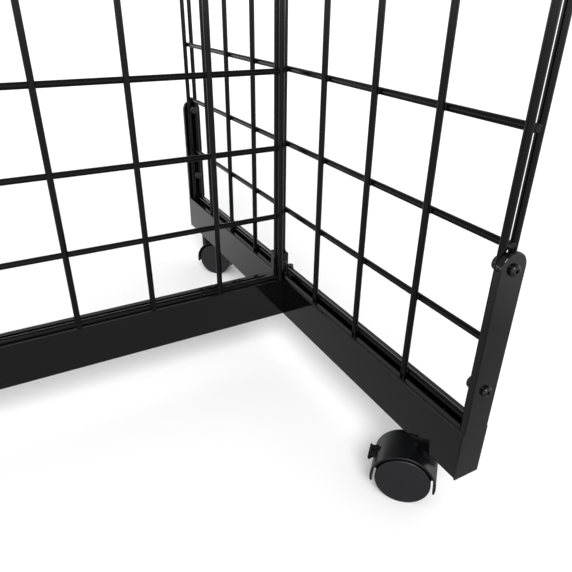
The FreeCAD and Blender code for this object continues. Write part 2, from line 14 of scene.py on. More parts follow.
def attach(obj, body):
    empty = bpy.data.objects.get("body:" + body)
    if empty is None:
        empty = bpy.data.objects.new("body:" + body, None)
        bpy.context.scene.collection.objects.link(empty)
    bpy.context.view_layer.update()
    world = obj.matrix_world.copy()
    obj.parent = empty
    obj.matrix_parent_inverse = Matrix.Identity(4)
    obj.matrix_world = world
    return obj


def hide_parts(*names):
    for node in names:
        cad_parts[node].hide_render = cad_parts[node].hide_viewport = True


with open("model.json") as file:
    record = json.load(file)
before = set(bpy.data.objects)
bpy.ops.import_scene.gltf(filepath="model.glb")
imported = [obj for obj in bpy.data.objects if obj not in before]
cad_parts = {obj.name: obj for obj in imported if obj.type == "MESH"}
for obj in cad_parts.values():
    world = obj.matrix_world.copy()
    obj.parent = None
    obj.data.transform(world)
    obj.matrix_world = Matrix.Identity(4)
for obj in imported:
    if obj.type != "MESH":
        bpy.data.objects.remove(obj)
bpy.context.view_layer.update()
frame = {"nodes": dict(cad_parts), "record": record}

# %% [markdown]
# ## Sizes
# All lengths are written in millimetres, as a drawing would have them, and multiplied by MM when
# they are used. The grid pitch of three inches drives the panels, the rails' top carries them, and
# the casters' height lifts the rails. WIRE is a wire's radius, and LAYER the step between the
# middles of a panel's two layers of wire.

# %% Driving sizes
MM = 0.001
PITCH = 76.2
WIRE = 2.9
LAYER = 5.12
OVERHANG = 3.0
EDGE_INSET = 1.1
CASTER_HEIGHT = 63.2
RAIL_WIDTH = 25.4
RAIL_HEIGHT = 49.3
RAIL_TOP = CASTER_HEIGHT + RAIL_HEIGHT
END_X = 627.6
ROWS = 17
FIRST_ROW = RAIL_TOP + OVERHANG
PANEL_HEIGHT = (ROWS - 1) * PITCH + 2 * OVERHANG
PANEL_SHIFT = -12.5
CROSS_SHIFT = -2.5
UPRIGHT_FACE = 311.8
UPRIGHT_HEIGHT = 202.3
TOP_SCREW = CASTER_HEIGHT + UPRIGHT_HEIGHT - RAIL_WIDTH / 2
SCREW_HEIGHTS = (TOP_SCREW, TOP_SCREW - 101.6)
SIDES = {"left": -1, "right": 1}
CORNERS = {"front": -1, "back": 1}
print("rails' top", RAIL_TOP, "mm, panel height", round(PANEL_HEIGHT, 1), "mm")

# %% [markdown]
# ## Materials
# Everything that is steel and black here is powder coated: a thin plastic skin, glossy but with a
# faint orange peel left by the melted powder. The casters are moulded nylon, less glossy and a
# little bluish. Fasteners are zinc plated. One recipe makes them all: a slow noise moves the tone
# and the roughness, and a fine one drives the bump, both on Object coordinates in real lengths.

# %% One recipe for every finish
def finish_material(name, tone, roughness, metallic=0.0, grain=700.0, relief=0.05, spread=0.06,
                    specular=0.5, stretch=(1.0, 1.0, 1.0)):
    """Procedural finish: tone and roughness drift slowly, and a fine grain drives the bump."""
    material = bpy.data.materials.new(name)
    material.use_nodes = True
    nodes = material.node_tree.nodes
    links = material.node_tree.links
    shader = nodes["Principled BSDF"]
    shader.inputs["Metallic"].default_value = metallic
    shader.inputs["Specular IOR Level"].default_value = specular
    coordinates = nodes.new("ShaderNodeTexCoord")
    mapping = nodes.new("ShaderNodeMapping")
    mapping.inputs["Scale"].default_value = stretch
    links.new(coordinates.outputs["Object"], mapping.inputs["Vector"])
    slow = nodes.new("ShaderNodeTexNoise")
    slow.inputs["Scale"].default_value = 11.0
    slow.inputs["Detail"].default_value = 5.0
    fine = nodes.new("ShaderNodeTexNoise")
    fine.inputs["Scale"].default_value = grain
    fine.inputs["Detail"].default_value = 2.0
    for noise in (slow, fine):
        links.new(mapping.outputs["Vector"], noise.inputs["Vector"])
    ramp = nodes.new("ShaderNodeValToRGB")
    for stop, position, factor in zip(ramp.color_ramp.elements, (0.35, 0.68), (0.82, 1.2)):
        stop.position = position
        stop.color = (*[channel * factor for channel in tone], 1)
    links.new(slow.outputs["Fac"], ramp.inputs["Fac"])
    links.new(ramp.outputs["Color"], shader.inputs["Base Color"])
    gloss = nodes.new("ShaderNodeMapRange")
    gloss.inputs["From Min"].default_value = 0.3
    gloss.inputs["From Max"].default_value = 0.7
    gloss.inputs["To Min"].default_value = roughness
    gloss.inputs["To Max"].default_value = roughness + spread
    links.new(slow.outputs["Fac"], gloss.inputs["Value"])
    links.new(gloss.outputs["Result"], shader.inputs["Roughness"])
    bump = nodes.new("ShaderNodeBump")
    bump.inputs["Strength"].default_value = relief
    bump.inputs["Distance"].default_value = 0.0003
    links.new(fine.outputs["Fac"], bump.inputs["Height"])
    links.new(bump.outputs["Normal"], shader.inputs["Normal"])
    print("material", name)
    return material


MATERIALS = {
    "panel_wire": finish_material("black_powder_wire", (0.0015, 0.0015, 0.0018), 0.16,
                                  grain=900, specular=0.22),
    "base_rail": finish_material("black_powder_rail", (0.0015, 0.0015, 0.0018), 0.05, relief=0.02,
                                 spread=0.04),
    "bracket_steel": finish_material("black_powder_bracket", (0.005, 0.005, 0.005), 0.28),
    "joining_clip": finish_material("black_powder_clip", (0.003, 0.003, 0.003), 0.16, specular=0.35),
    "screw_steel": finish_material("black_zinc", (0.008, 0.008, 0.009), 0.15, metallic=0.2,
                                   relief=0.03),
    "nut_steel": finish_material("clear_zinc", (0.30, 0.30, 0.31), 0.3, metallic=0.9, relief=0.05),
    "caster_stem": finish_material("bright_zinc", (0.50, 0.50, 0.52), 0.28, metallic=1.0, relief=0.04,
                                   stretch=(1.0, 1.0, 8.0)),
    "caster_housing": finish_material("black_nylon_hood", (0.0030, 0.0032, 0.0045), 0.30, grain=1500,
                                      relief=0.08, specular=0.36),
    "caster_wheel": finish_material("black_nylon_wheel", (0.0060, 0.0060, 0.0080), 0.36, grain=1500,
                                    relief=0.08),
    "brake_lever": finish_material("black_nylon_lever", (0.0030, 0.0030, 0.0040), 0.30, grain=1500,
                                   relief=0.08, specular=0.36),
}
SLOT_OF = {part["node"]: part["material_slot"] for part in frame["record"]["subparts"]}
for name, obj in frame["nodes"].items():
    obj.data.materials.clear()
    obj.data.materials.append(MATERIALS[SLOT_OF[name]])

# %% [markdown]
# ## Working by hand, in code
# The helpers below stand for what a hand does in the window: add one primitive, select some faces
# or edges by their place, repeat a piece, join pieces, and finish.

# %% Helpers
def only(*objects):
    """Leave edit mode and select just these objects; the first becomes active."""
    if bpy.context.object and bpy.context.object.mode != "OBJECT":
        bpy.ops.object.mode_set(mode="OBJECT")
    bpy.ops.object.select_all(action="DESELECT")
    for obj in objects:
        obj.select_set(True)
    bpy.context.view_layer.objects.active = objects[0]


def start(add, name, scale=None, **options):
    """Add a primitive by itself, with its place applied to its mesh."""
    if bpy.context.object and bpy.context.object.mode != "OBJECT":
        bpy.ops.object.mode_set(mode="OBJECT")
    bpy.ops.object.select_all(action="DESELECT")
    add(**options)
    obj = bpy.context.object
    obj.name = name
    if scale:
        obj.scale = scale
    bpy.ops.object.transform_apply(location=True, rotation=True, scale=True)
    return obj


def cube(name, low, high):
    """Box between two corners, in millimetres."""
    size = [(b - a) * MM for a, b in zip(low, high)]
    middle = [(a + b) / 2 * MM for a, b in zip(low, high)]
    return start(bpy.ops.mesh.primitive_cube_add, name, size, size=1.0, location=middle)


ROTATIONS = {"x": (0, radians(90), 0), "y": (radians(90), 0, 0), "z": (0, 0, 0)}


def rod(name, radius, low, high, axis, centre, sides=32, ends="NGON"):
    """Cylinder from low to high along an axis; centre holds the two other coordinates."""
    middle = (low + high) / 2
    spot = {"x": (middle, *centre), "y": (centre[0], middle, centre[1]), "z": (*centre, middle)}[axis]
    return start(bpy.ops.mesh.primitive_cylinder_add, name, vertices=sides, radius=radius * MM,
                 depth=(high - low) * MM, end_fill_type=ends, rotation=ROTATIONS[axis],
                 location=[v * MM for v in spot])


def pick(obj, kind, wanted):
    """Enter edit mode with the wanted faces, edges or vertices selected; lengths are in millimetres."""
    only(obj)
    mesh = obj.data
    for items in (mesh.vertices, mesh.edges, mesh.polygons):
        for item in items:
            item.select = False
    if kind == "faces":
        for face in mesh.polygons:
            face.select = bool(wanted(face.center / MM, face.normal))
    elif kind == "edges":
        for edge in mesh.edges:
            a, b = (mesh.vertices[i].co / MM for i in edge.vertices)
            edge.select = bool(wanted(a, b))
    else:
        for vertex in mesh.vertices:
            vertex.select = bool(wanted(vertex.co / MM))
    bpy.context.tool_settings.mesh_select_mode = (kind == "verts", kind == "edges", kind == "faces")
    bpy.ops.object.mode_set(mode="EDIT")


def bevel(obj, wanted, width, segments=3):
    """Round the wanted edges; width is in millimetres."""
    pick(obj, "edges", wanted)
    bpy.ops.mesh.bevel(offset=width * MM, segments=segments, affect="EDGES")
    bpy.ops.object.mode_set(mode="OBJECT")


def modify(obj, kind, **settings):
    """Add one modifier and apply it."""
    only(obj)
    modifier = obj.modifiers.new(kind.lower(), kind)
    for key, value in settings.items():
        setattr(modifier, key, value)
    bpy.ops.object.modifier_apply(modifier=modifier.name)


def soften(obj, width, segments=2, angle=50):
    """Round every sharp edge a little, as the coat or the mould does."""
    modify(obj, "BEVEL", width=width * MM, segments=segments, limit_method="ANGLE",
           angle_limit=radians(angle))


def repeat(obj, *steps):
    """Repeat along each (count, offset in millimetres)."""
    for count, offset in steps:
        modify(obj, "ARRAY", count=count, use_relative_offset=False, use_constant_offset=True,
               constant_offset_displace=[v * MM for v in offset])


def carve(obj, tool):
    """Take a tool's shape out of obj and throw the tool away."""
    modify(obj, "BOOLEAN", operation="DIFFERENCE", solver="EXACT", object=tool)
    bpy.data.objects.remove(tool)


def join(name, objects):
    """One object from several, under a new name."""
    only(*objects)
    bpy.ops.object.join()
    bpy.context.object.name = name
    return bpy.context.object


def half_turn(sign):
    """No turn for the front end, half a turn about the vertical for the back end."""
    return Matrix.Rotation(0 if sign < 0 else radians(180), 4, "Z")


def discard(*objects):
    """Remove models once their copies are made."""
    for obj in objects:
        bpy.data.objects.remove(obj)


def copied(obj, name, matrix):
    """Copy with its own mesh, moved by the matrix and applied."""
    only(obj)
    bpy.ops.object.duplicate(linked=False)
    copy = bpy.context.object
    copy.name = name
    copy.matrix_world = matrix
    bpy.ops.object.transform_apply(location=True, rotation=True, scale=True)
    if matrix.determinant() < 0:
        bpy.ops.object.mode_set(mode="EDIT")
        bpy.ops.mesh.select_all(action="SELECT")
        bpy.ops.mesh.flip_normals()
        bpy.ops.object.mode_set(mode="OBJECT")
    return copy


def deliver(obj, slot, body, *nodes, angle=35):
    """Shade, coat and hang a finished piece on its body, in place of its CAD nodes."""
    only(obj)
    bpy.ops.object.shade_smooth_by_angle(angle=radians(angle))
    modify(obj, "WEIGHTED_NORMAL", keep_sharp=True, weight=80)
    obj.data.materials.clear()
    obj.data.materials.append(MATERIALS[slot])
    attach(obj, body)
    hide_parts(*nodes)
    print(obj.name, len(obj.data.polygons), "faces")


print("helpers ready")

# %% [markdown]
# ## Wire panels
# A panel is drawn wire cut to length, laid in two layers and spot welded at every crossing. The cut
# ends are a little rounded by the coat, and each weld squeezes out a small flat collar. One wire of
# each kind is made, then repeated on the pitch. The outer edge of a panel has a wire on both faces.

# %% Wire and weld
WELD_RADIUS = 3.2
WELD_HALF = 1.0
NEAR = 0.01


def wire(name, low, high, axis, centre):
    """One straight wire with rounded ends."""
    obj = rod(name, WIRE, low, high, axis, centre, sides=24)
    index = "xyz".index(axis)
    bevel(obj, lambda a, b: abs(a[index] - b[index]) < NEAR, 0.8, 2)
    return obj


def weld(name, axis, centre):
    """Collar of one crossing: its axis points from one wire's layer to the other's."""
    index = "xyz".index(axis)
    others = [c for i, c in enumerate(centre) if i != index]
    obj = rod(name, WELD_RADIUS, centre[index] - WELD_HALF, centre[index] + WELD_HALF, axis, others,
              sides=10)
    bevel(obj, lambda a, b: abs(a[index] - b[index]) < NEAR, 0.6, 1)
    return obj


print("wire", 2 * WIRE, "mm thick")

# %% [markdown]
# An end panel has its upright wires on the inner side. Their edge wires are doubled, one on each
# face, because the uprights' screws pass between the two.

# %% End panels
PANEL_Z = (RAIL_TOP, RAIL_TOP + PANEL_HEIGHT)
EDGE_Y = 4 * PITCH - EDGE_INSET
END_COLUMNS = 7
EVERY_ROW = (ROWS, (0, 0, PITCH))
EVERY_COLUMN = (END_COLUMNS, (0, PITCH, 0))
BOTH_EDGES = (2, (0, 2 * EDGE_Y, 0))
for side, outward in SIDES.items():
    x = outward * END_X
    inner = x - outward * LAYER
    rows = wire("rows", -EDGE_Y - OVERHANG, EDGE_Y + OVERHANG, "y", (x, FIRST_ROW))
    repeat(rows, EVERY_ROW)
    columns = wire("columns", *PANEL_Z, "z", (inner, -3 * PITCH))
    repeat(columns, EVERY_COLUMN)
    edges = wire("edges", *PANEL_Z, "z", (x - LAYER, -EDGE_Y))
    repeat(edges, (2, (2 * LAYER, 0, 0)), BOTH_EDGES)
    welds = weld("welds", "x", (x - outward * LAYER / 2, -3 * PITCH, FIRST_ROW))
    repeat(welds, EVERY_COLUMN, EVERY_ROW)
    edge_welds = weld("edge_welds", "x", (x - LAYER / 2, -EDGE_Y, FIRST_ROW))
    repeat(edge_welds, (2, (LAYER, 0, 0)), BOTH_EDGES, EVERY_ROW)
    panel = join(f"panel_{side}", [rows, columns, edges, welds, edge_welds])
    deliver(panel, "panel_wire", "stand", f"end_panel_{side}")

# %% [markdown]
# The centre panel is the same wire on the same pitch, turned across, with its upright wires towards
# the front. It stops short of the end panels, so that the joining clips have room for a bolt.

# %% Centre panel
EDGE_GAP = 18.0
EDGE_X = END_X - EDGE_GAP
EVERY_COLUMN = (15, (PITCH, 0, 0))
BOTH_EDGES = (2, (2 * EDGE_X, 0, 0))
front_y = PANEL_SHIFT - LAYER
rows = wire("rows", -EDGE_X - OVERHANG, EDGE_X + OVERHANG, "x", (PANEL_SHIFT, FIRST_ROW))
repeat(rows, EVERY_ROW)
columns = wire("columns", *PANEL_Z, "z", (PITCH - EDGE_X, front_y))
repeat(columns, EVERY_COLUMN)
edges = wire("edges", *PANEL_Z, "z", (-EDGE_X, front_y))
repeat(edges, (2, (0, 2 * LAYER, 0)), BOTH_EDGES)
welds = weld("welds", "y", (PITCH - EDGE_X, PANEL_SHIFT - LAYER / 2, FIRST_ROW))
repeat(welds, EVERY_COLUMN, EVERY_ROW)
edge_welds = weld("edge_welds", "y", (-EDGE_X, PANEL_SHIFT - LAYER / 2, FIRST_ROW))
repeat(edge_welds, (2, (0, LAYER, 0)), BOTH_EDGES, EVERY_ROW)
panel = join("panel_centre", [rows, columns, edges, welds, edge_welds])
deliver(panel, "panel_wire", "stand", "centre_panel")

# %% [markdown]
# ## Slotted rails
# A rail is roll-formed strip: a rectangular tube whose top is left open between two lips. The box
# loses its ends, the slot is cut out of the top, the four long corners get the bend's radius, and
# the sheet then gets its thickness inwards. A fine bevel stands for the coat on the cut edges.

# %% Rails
SLOT_HALF = 5.0
RAIL_SHEET = 1.5
BEND = 2.0


def is_long_corner(a, b):
    """Whether an edge is one of a rail's four long corners."""
    on_side = abs(abs(a.y) - RAIL_WIDTH / 2) < NEAR and abs(a.y - b.y) < NEAR
    level = abs(a.z - b.z) < NEAR
    return on_side and level and min(abs(a.z - RAIL_TOP), abs(a.z - CASTER_HEIGHT)) < NEAR


def slotted_rail(name, length, slot_length, slant=0.0):
    """Rail along X about the origin; slant cuts the near lip back at the slot's ends."""
    half = length / 2
    obj = cube(name, (-half, -RAIL_WIDTH / 2, CASTER_HEIGHT), (half, RAIL_WIDTH / 2, RAIL_TOP))
    pick(obj, "faces", lambda centre, normal: abs(normal.x) > 0.9)
    bpy.ops.mesh.delete(type="FACE")
    cuts = [((0, 1, 0), SLOT_HALF), ((0, 1, 0), -SLOT_HALF)]
    if slot_length < length:
        cuts += [((1, 0, 0), slot_length / 2), ((1, 0, 0), -slot_length / 2)]
    for normal, level in cuts:
        bpy.ops.mesh.select_all(action="SELECT")
        bpy.ops.mesh.bisect(plane_co=[v * level * MM for v in normal], plane_no=normal)
    pick(obj, "faces", lambda centre, normal: normal.z > 0.9 and abs(centre.y) < SLOT_HALF
         and abs(centre.x) < slot_length / 2)
    bpy.ops.mesh.delete(type="FACE")
    if slant:
        for end in (-1, 1):
            pick(obj, "verts", lambda v: v.z > RAIL_TOP - 1 and abs(v.y + SLOT_HALF) < 0.1
                 and abs(v.x - end * slot_length / 2) < 0.1)
            bpy.ops.transform.translate(value=(-end * slant * MM, 0, 0))
    bevel(obj, is_long_corner, BEND, 5)
    modify(obj, "SOLIDIFY", thickness=RAIL_SHEET * MM, offset=-1.0, use_even_offset=True)
    soften(obj, 0.25, 2, 60)
    return obj


UPRIGHT_SHEET = 1.6
END_LENGTH = 2 * (UPRIGHT_FACE - UPRIGHT_SHEET)
model = slotted_rail("rail_model", END_LENGTH, END_LENGTH + 2)
for side, outward in SIDES.items():
    place = Matrix.Translation((outward * END_X * MM, 0, 0)) @ Matrix.Rotation(radians(90), 4, "Z")
    deliver(copied(model, f"rail_{side}", place), "base_rail", "stand", f"end_rail_{side}")
discard(model)

CROSS_LENGTH = 2 * END_X - RAIL_WIDTH
CLOSED_ENDS = 28.0
model = slotted_rail("rail_cross", CROSS_LENGTH, CROSS_LENGTH - CLOSED_ENDS, slant=5.0)
cross = copied(model, "rail_across", Matrix.Translation((0, CROSS_SHIFT * MM, 0)))
discard(model)
deliver(cross, "base_rail", "stand", "cross_rail")

# %% [markdown]
# ## Uprights
# A pressed strip closes each end of an end rail and rises past its top. Its head is a half circle,
# and above the rail a shallow rim turns towards the panel. The outline starts as a circle: the
# lower half is deleted and the two loose ends are drawn down to the rail's foot.

# %% Uprights
RIM = 4.8


def is_rim_edge(a, b):
    """Whether an edge follows the outline above the rail, and doesn't cross the web."""
    return (a.z + b.z) / 2 > RAIL_TOP + 0.5 and abs(a.x + b.x) > NEAR


def upright_model():
    """Upright for a front end, with its web's outer face at Y = -UPRIGHT_FACE."""
    face_y = -UPRIGHT_FACE
    obj = start(bpy.ops.mesh.primitive_circle_add, "upright_model", vertices=64,
                radius=RAIL_WIDTH / 2 * MM, rotation=(radians(90), 0, 0),
                location=(0, face_y * MM, TOP_SCREW * MM))
    pick(obj, "verts", lambda v: v.z < TOP_SCREW - NEAR)
    bpy.ops.mesh.delete(type="VERT")
    pick(obj, "verts", lambda v: v.z < TOP_SCREW + NEAR)
    for drop in (TOP_SCREW - RAIL_TOP, RAIL_TOP - CASTER_HEIGHT):
        bpy.ops.mesh.extrude_region_move(TRANSFORM_OT_translate={"value": (0, 0, -drop * MM)})
    bpy.ops.mesh.select_all(action="SELECT")
    bpy.ops.mesh.edge_face_add()
    bpy.ops.mesh.select_all(action="SELECT")
    bpy.ops.mesh.bisect(plane_co=(0, 0, RAIL_TOP * MM), plane_no=(0, 0, 1))
    pick(obj, "edges", is_rim_edge)
    bpy.ops.mesh.extrude_region_move(TRANSFORM_OT_translate={"value": (0, RIM * MM, 0)})
    bpy.ops.mesh.select_all(action="SELECT")
    bpy.ops.mesh.normals_make_consistent(inside=False)
    bevel(obj, lambda a, b: max(abs(a.y - face_y), abs(b.y - face_y)) < NEAR and is_rim_edge(a, b),
          1.3, 4)
    modify(obj, "SOLIDIFY", thickness=UPRIGHT_SHEET * MM, offset=-1.0, use_even_offset=True)
    soften(obj, 0.3, 2, 60)
    return obj


model = upright_model()
for side, outward in SIDES.items():
    for corner, sign in CORNERS.items():
        place = Matrix.Translation((outward * END_X * MM, 0, 0)) @ half_turn(sign)
        node = f"upright_{corner}_{side}"
        deliver(copied(model, f"post_{corner}_{side}", place), "base_rail", "stand", node)
discard(model)

# %% [markdown]
# ## Screws and cap nuts of the uprights
# A button-head screw with a hexagon socket goes through the web and between the doubled edge
# wires, and a domed cap nut holds it on their inner side. Heads and nuts are turned parts: a short
# cylinder with its edge rolled over, the socket carved by a hexagonal tool.

# %% Upright fasteners
HEAD_HEIGHT = 3.1
CAP_HEIGHT = 4.2
SCREW_LINE = (0, 0)
seat = -UPRIGHT_FACE
top = seat - HEAD_HEIGHT
head = rod("head", 4.6, top, seat, "y", SCREW_LINE, sides=48)
bevel(head, lambda a, b: max(a.y, b.y) < top + 0.1, 2.0, 6)
bevel(head, lambda a, b: abs(a.y - b.y) < NEAR and a.y > seat - 0.1, 0.3, 2)
carve(head, rod("socket", 1.75, seat - 4, seat - 1.3, "y", SCREW_LINE, sides=6))
nut_seat = -(EDGE_Y - WIRE)
shank = rod("shank", 1.95, seat - 0.5, nut_seat + 3.0, "y", SCREW_LINE, sides=24)
bevel(shank, lambda a, b: abs(a.y - b.y) < NEAR, 0.4, 1)
screw = join("screw_model", [head, shank])
cap = rod("cap_model", 5.5, nut_seat, nut_seat + CAP_HEIGHT, "y", SCREW_LINE, sides=48)
bevel(cap, lambda a, b: min(a.y, b.y) > nut_seat + CAP_HEIGHT - 0.2, 1.6, 5)
bevel(cap, lambda a, b: abs(a.y - b.y) < NEAR and a.y < nut_seat + 0.1, 0.3, 2)
screws = []
caps = []
for outward in SIDES.values():
    for sign in CORNERS.values():
        for height in SCREW_HEIGHTS:
            place = Matrix.Translation((outward * END_X * MM, 0, height * MM)) @ half_turn(sign)
            screws.append(copied(screw, "screw", place))
            caps.append(copied(cap, "cap", place))
discard(screw, cap)
deliver(join("upright_screw_set", screws), "screw_steel", "stand", "upright_screws")
deliver(join("cap_nut_set", caps), "screw_steel", "stand", "cap_nuts")

# %% [markdown]
# ## Joining clips
# Two bent plates pinch the rear edge wire of the centre panel and the middle wire of an end panel,
# drawn together by a pan-head bolt and a nut. Each plate is a strip whose end is folded once.

# %% Clip plates
CLIP_HEIGHT = 24.0
CLIP_GAP = 0.6
CLIP_LEVELS = {
    "lower": FIRST_ROW + WIRE + CLIP_GAP,
    "upper": FIRST_ROW + (ROWS - 1) * PITCH - WIRE - CLIP_GAP - CLIP_HEIGHT,
}
PLATE = 1.6
LEG = 19.18
FAR_WIRE_Y = PANEL_SHIFT + LAYER
FRONT_PLATE_Y = FAR_WIRE_Y - WIRE - PLATE
FRONT_PLATE_X = END_X - 23.5
BACK_PLATE_X = END_X - EDGE_GAP - PLATE / 2


def clip_plate(name, low, high, toe_low, toe_high, free_x):
    """Flat leg and folded toe as one sheet, with the leg's free corners rounded."""
    leg = cube(name, low, high)
    toe = cube("toe", toe_low, toe_high)
    bevel(leg, lambda a, b: max(abs(a.x - free_x), abs(b.x - free_x)) < NEAR
          and abs(a.z - b.z) < NEAR, 3.0, 5)
    modify(leg, "BOOLEAN", operation="UNION", solver="EXACT", object=toe)
    bpy.data.objects.remove(toe)
    soften(leg, 0.35, 2, 50)
    return leg


for face in ("front", "back"):
    for level, bottom in CLIP_LEVELS.items():
        top = bottom + CLIP_HEIGHT
        if face == "front":
            free = FRONT_PLATE_X
            toe_x = END_X - LAYER - PLATE / 2
            leg = ((free, FRONT_PLATE_Y, bottom), (free + LEG, FRONT_PLATE_Y + PLATE, top))
            toe = ((toe_x, FRONT_PLATE_Y, bottom), (toe_x + PLATE, -WIRE, top))
        else:
            free = BACK_PLATE_X + LEG
            toe_x = BACK_PLATE_X
            leg = ((toe_x, WIRE, bottom), (free, WIRE + PLATE, top))
            toe = ((toe_x, FAR_WIRE_Y + WIRE, bottom), (toe_x + PLATE, WIRE + PLATE, top))
        plate = clip_plate("plate_model", *leg, *toe, free)
        for side, outward in SIDES.items():
            mirror = Matrix.Scale(outward, 4, (1, 0, 0))
            piece = copied(plate, f"plate_{face}_{level}_{side}", mirror)
            deliver(piece, "joining_clip", "stand", f"clip_{face}_{level}_{side}")
        discard(plate)

# %% [markdown]
# The clip's bolt has a pan head with a hexagon socket in front, and a plain hexagon nut behind.

# %% Clip bolts and nuts
CLIP_MIDDLE = END_X - (EDGE_GAP + LAYER) / 2
PAN_HEIGHT = 3.2
NUT_HEIGHT = 4.0
seat = FRONT_PLATE_Y
top = seat - PAN_HEIGHT
nut_seat = WIRE + PLATE
head = rod("head", 4.5, top, seat, "y", SCREW_LINE, sides=40)
bevel(head, lambda a, b: max(a.y, b.y) < top + 0.2, 1.5, 5)
carve(head, rod("socket", 1.6, seat - 4, seat - 1.8, "y", SCREW_LINE, sides=6))
shank = rod("shank", 2.4, seat - 0.3, nut_seat + 5.8, "y", SCREW_LINE, sides=24)
bevel(shank, lambda a, b: abs(a.y - b.y) < NEAR, 0.4, 1)
bolt = join("bolt_model", [head, shank])
nut = rod("nut_model", 4.55, nut_seat, nut_seat + NUT_HEIGHT, "y", SCREW_LINE, sides=6)
carve(nut, rod("bore", 2.45, WIRE, WIRE + 8, "y", SCREW_LINE, sides=32))
soften(nut, 0.3, 2, 40)
bolts = []
nuts = []
for outward in SIDES.values():
    for bottom in CLIP_LEVELS.values():
        place = Matrix.Translation((outward * CLIP_MIDDLE * MM, 0, (bottom + CLIP_HEIGHT / 2) * MM))
        bolts.append(copied(bolt, "bolt", place))
        nuts.append(copied(nut, "nut", place))
discard(bolt, nut)
deliver(join("clip_bolt_set", bolts), "screw_steel", "stand", "clip_bolts")
deliver(join("clip_nut_set", nuts), "nut_steel", "stand", "clip_nuts")

# %% [markdown]
# ## Screw on each end rail's outer lip
# A small flanged hexagon screw holds the tongue that comes through from the cross rail. Its head is
# cold formed, so the hexagon's top is dished a little inside a raised edge.

# %% Lip screws
flange = rod("flange", 4.4, RAIL_TOP, RAIL_TOP + 1.0, "z", (0, 0), sides=40)
bevel(flange, lambda a, b: a.z > RAIL_TOP + 0.9 and b.z > RAIL_TOP + 0.9, 0.6, 3)
hexagon = rod("hexagon", 4.04, RAIL_TOP + 0.3, RAIL_TOP + 5.0, "z", (0, 0), sides=6)
pick(hexagon, "faces", lambda centre, normal: normal.z > 0.9)
bpy.ops.mesh.inset(thickness=0.7 * MM, depth=0)
bpy.ops.transform.translate(value=(0, 0, -0.5 * MM))
soften(hexagon, 0.3, 2, 25)
shank = rod("shank", 1.45, RAIL_TOP - 11.0, RAIL_TOP + 0.5, "z", (0, 0), sides=20)
bevel(shank, lambda a, b: abs(a.z - b.z) < NEAR, 0.3, 1)
model = join("lip_model", [flange, hexagon, shank])
LIP_MIDDLE = END_X + 8.1
LIP_SCREW_Y = 5.0
lip_set = [copied(model, "lip", Matrix.Translation((outward * LIP_MIDDLE * MM, LIP_SCREW_Y * MM, 0)))
           for outward in SIDES.values()]
discard(model)
deliver(join("lip_screw_set", lip_set), "screw_steel", "stand", "lip_screws")

# %% [markdown]
# ## Casters
# A furniture caster has two wheels under one moulded hood. The hood is a strip of a cylinder about
# the wheels' axle, open at its sides, and carries the boss in which the stem turns. One caster is
# modelled about its stem and copied to the four ends, where each rests at its own swivel angle.

# %% Hood, web and boss
WHEEL_RADIUS = 25.0
HUB = (-18.3, WHEEL_RADIUS)
HALF_WIDTH = 18.9
HOOD = 29.6
PIVOT = (HUB[0] - 15.5, HUB[1] + 16.0)
LEVER_TILT = 16.7
BOSS_TOP = CASTER_HEIGHT - 2.0


def angle_at_hub(point):
    """Direction of a point from the wheels' axle, in degrees above the stem's side."""
    return degrees(atan2(point.z - HUB[1], point.x - HUB[0]))


hood = rod("hood", HOOD, -HALF_WIDTH, HALF_WIDTH, "y", HUB, sides=120, ends="NOTHING")
pick(hood, "faces", lambda centre, normal: -168 < angle_at_hub(centre) < -12)
bpy.ops.mesh.delete(type="FACE")
bpy.ops.object.mode_set(mode="OBJECT")
modify(hood, "SOLIDIFY", thickness=2.0 * MM, offset=-1.0, use_even_offset=True)
soften(hood, 0.7, 4, 60)

web = rod("web", HOOD - 1.0, -2.9, 2.9, "y", HUB, sides=120)
pick(web, "faces", lambda centre, normal: True)
bpy.ops.mesh.bisect(plane_co=(0, 0, (HUB[1] - 5.6) * MM), plane_no=(0, 0, 1), use_fill=True,
                    clear_inner=True)
bpy.ops.object.mode_set(mode="OBJECT")

boss = rod("boss", 9.5, 38.0, BOSS_TOP, "z", (0, 0), sides=64)
bevel(boss, lambda a, b: min(a.z, b.z) > BOSS_TOP - 0.1, 1.0, 4)
carve(boss, rod("wheel_room", HOOD - 1.2, -30, 30, "y", HUB, sides=120))
carve(boss, rod("stem_room", 3.56, 45.0, BOSS_TOP + 5, "z", (0, 0), sides=48))

LEVER_ROOM = 3.0
slot_low = (PIVOT[0] - 15.5, -LEVER_ROOM, PIVOT[1] - 5.6)
slot_high = (PIVOT[0] - 2.6, LEVER_ROOM, PIVOT[1] + 2.0)
for part in (hood, web):
    carve(part, cube("slot", slot_low, slot_high))
    carve(part, rod("room", 3.8, -LEVER_ROOM, LEVER_ROOM, "y", PIVOT, sides=48))
housing = join("housing_model", [hood, web, boss])
print("housing", len(housing.data.polygons), "faces")

# %% [markdown]
# A wheel is moulded with a smooth outer face that swells a little towards the middle, a rolled rim
# and a tiny gate mark at its centre. The rings of the face are insets of the disc's own end, each
# raised a little over the last, and the gate mark is the one that sinks.

# %% Wheels
WHEEL_INNER_FACE = 3.2
FACE_RINGS = ((1.0, 0.0), (5.0, 0.22), (6.0, 0.16), (6.0, 0.1), (4.8, 0.02), (0.2, -0.4))


